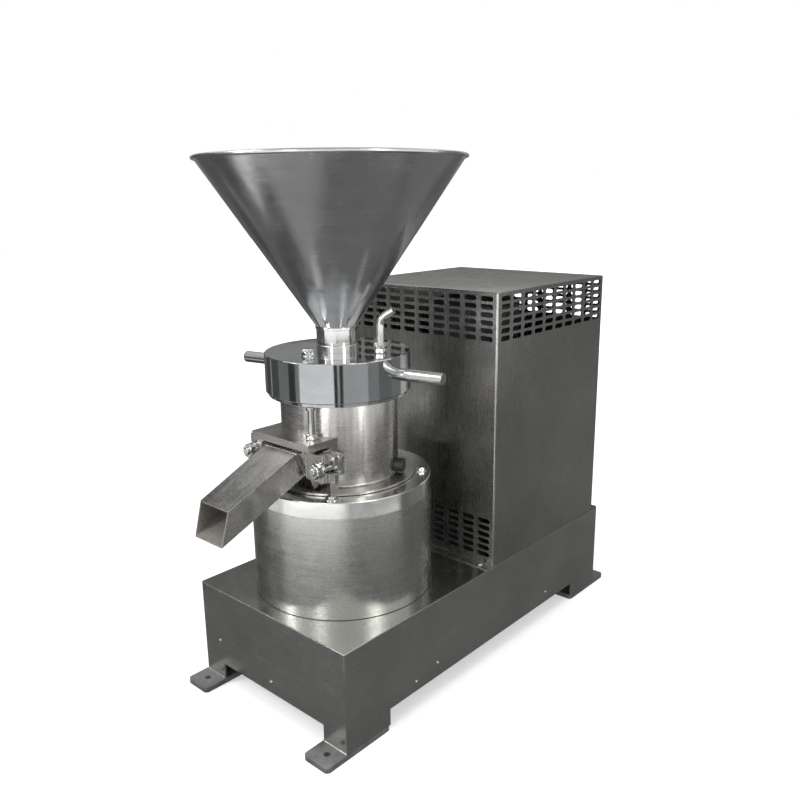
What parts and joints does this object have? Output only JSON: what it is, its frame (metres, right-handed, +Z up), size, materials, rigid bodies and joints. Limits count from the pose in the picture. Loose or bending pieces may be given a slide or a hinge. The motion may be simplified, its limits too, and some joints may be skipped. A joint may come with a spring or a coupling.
{
  "type": "peanut butter machine",
  "caption": "Vertical split colloid mill on a low steel base: conical hopper, turning adjusting ring with handles, clamped square spout and a belt motor under a vented cover.",
  "frame": {"origin": "centre of the four floor-bolt holes, at floor level", "axes": "+Z up, -Y along the discharge spout, +Y towards the motor, +X to the side of the water nozzle"},
  "size_m": [0.474, 0.9956, 0.993],
  "materials": {
    "base_steel": "dark brushed stainless steel",
    "frame_paint": "primer",
    "foot_steel": "rough blasted plate",
    "gland_plastic": "black",
    "drum_steel": "brushed",
    "polished_steel": "mirror polished stainless steel",
    "bolt_steel": "bright",
    "body_steel": "satin turned",
    "plug_plastic": "black",
    "housing_iron": "machined cast iron",
    "bearing_steel": "ground",
    "seal_rubber": "black",
    "spout_steel": "brushed, with weld marks",
    "gasket_rubber": "food-grade silicone",
    "hopper_steel": "satin spun sheet",
    "cover_steel": "dark brushed stainless steel",
    "motor_paint": "grey-blue motor enamel",
    "motor_aluminium": "cast",
    "core_steel": "laminated",
    "fan_plastic": "black",
    "belt_rubber": "black",
    "pulley_iron": "turned",
    "shaft_steel": "ground",
    "grinding_steel": "hardened and ground"
  },
  "bodies": {
    "base": {"base_shell": "base_steel", "base_frame": "frame_paint", "foot_plates": "foot_steel", "cable_gland": "gland_plastic", "drum_shell": "drum_steel", "drum_flange": "polished_steel", "drum_bolts": "bolt_steel", "mill_body": "body_steel", "drain_plug": "plug_plastic", "spout": "spout_steel", "spout_gasket": "gasket_rubber", "clevis_pins": "bolt_steel", "locking_nut": "bolt_steel", "bearing_housing": "housing_iron", "lower_bearing": "bearing_steel", "upper_bearing": "bearing_steel", "shaft_seal": "seal_rubber", "v_belts": "belt_rubber", "motor_plate": "frame_paint", "plate_bolts": "bolt_steel", "drive_shield": "motor_paint", "flange_bolts": "bolt_steel", "motor_frame": "motor_paint", "stator_core": "core_steel", "rear_shield": "motor_paint", "motor_bearings": "bearing_steel", "fan_cowl": "motor_paint", "terminal_box": "motor_paint", "motor_cover": "cover_steel", "cover_screws": "bolt_steel"},
    "spindle": {"spindle_shaft": "shaft_steel", "rotor": "grinding_steel", "feed_cone": "grinding_steel", "discharge_scraper": "body_steel", "mill_pulley": "pulley_iron", "spindle_nut": "bolt_steel"},
    "motor_rotor": {"motor_shaft": "shaft_steel", "rotor_core": "motor_aluminium", "cooling_fan": "fan_plastic", "motor_pulley": "pulley_iron"},
    "ring": {"adjusting_ring": "polished_steel", "left_handle": "bolt_steel", "right_handle": "bolt_steel", "ring_bolts": "bolt_steel", "feed_collar": "body_steel", "water_nozzle": "bolt_steel", "nozzle_nuts": "bolt_steel", "stator": "grinding_steel"},
    "feed_hopper": {"hopper": "hopper_steel"},
    "left_bolt": {"left_swing_bolt": "bolt_steel", "left_bolt_nut": "bolt_steel"},
    "right_bolt": {"right_swing_bolt": "bolt_steel", "right_bolt_nut": "bolt_steel"},
    "lock": {"locking_screw": "bolt_steel"}
  },
  "joints": [
    {"name": "motor_spin", "type": "hinge", "parent": "base", "child": "motor_rotor", "pos_m": [0, 0.198, 0.3], "axis": [0, 0, 1], "continuous": true},
    {"name": "spindle_spin", "type": "hinge", "parent": "base", "child": "spindle", "pos_m": [0, -0.224, 0.3], "axis": [0, 0, 1], "continuous": true},
    {"name": "ring_turn", "type": "hinge", "parent": "base", "child": "ring", "pos_m": [0, -0.224, 0.6], "axis": [0, 0, 1], "range_deg": [0, 90]},
    {"name": "hopper_lift", "type": "slide", "parent": "ring", "child": "feed_hopper", "axis": [0, 0, 1], "range_m": [0, 0.1]},
    {"name": "left_bolt_swing", "type": "hinge", "parent": "base", "child": "left_bolt", "pos_m": [-0.0885, -0.318, 0.477], "axis": [0, 0, -1], "range_deg": [0, 90]},
    {"name": "right_bolt_swing", "type": "hinge", "parent": "base", "child": "right_bolt", "pos_m": [0.0885, -0.318, 0.477], "axis": [0, 0, 1], "range_deg": [0, 90]},
    {"name": "lock_screw_slide", "type": "slide", "parent": "base", "child": "lock", "axis": [0, 0, -1], "range_m": [0, 0.008]}
  ],
  "couplings": [
    {"joint": "spindle_spin", "follows": "motor_spin", "ratio": 1.3333}
  ]
}
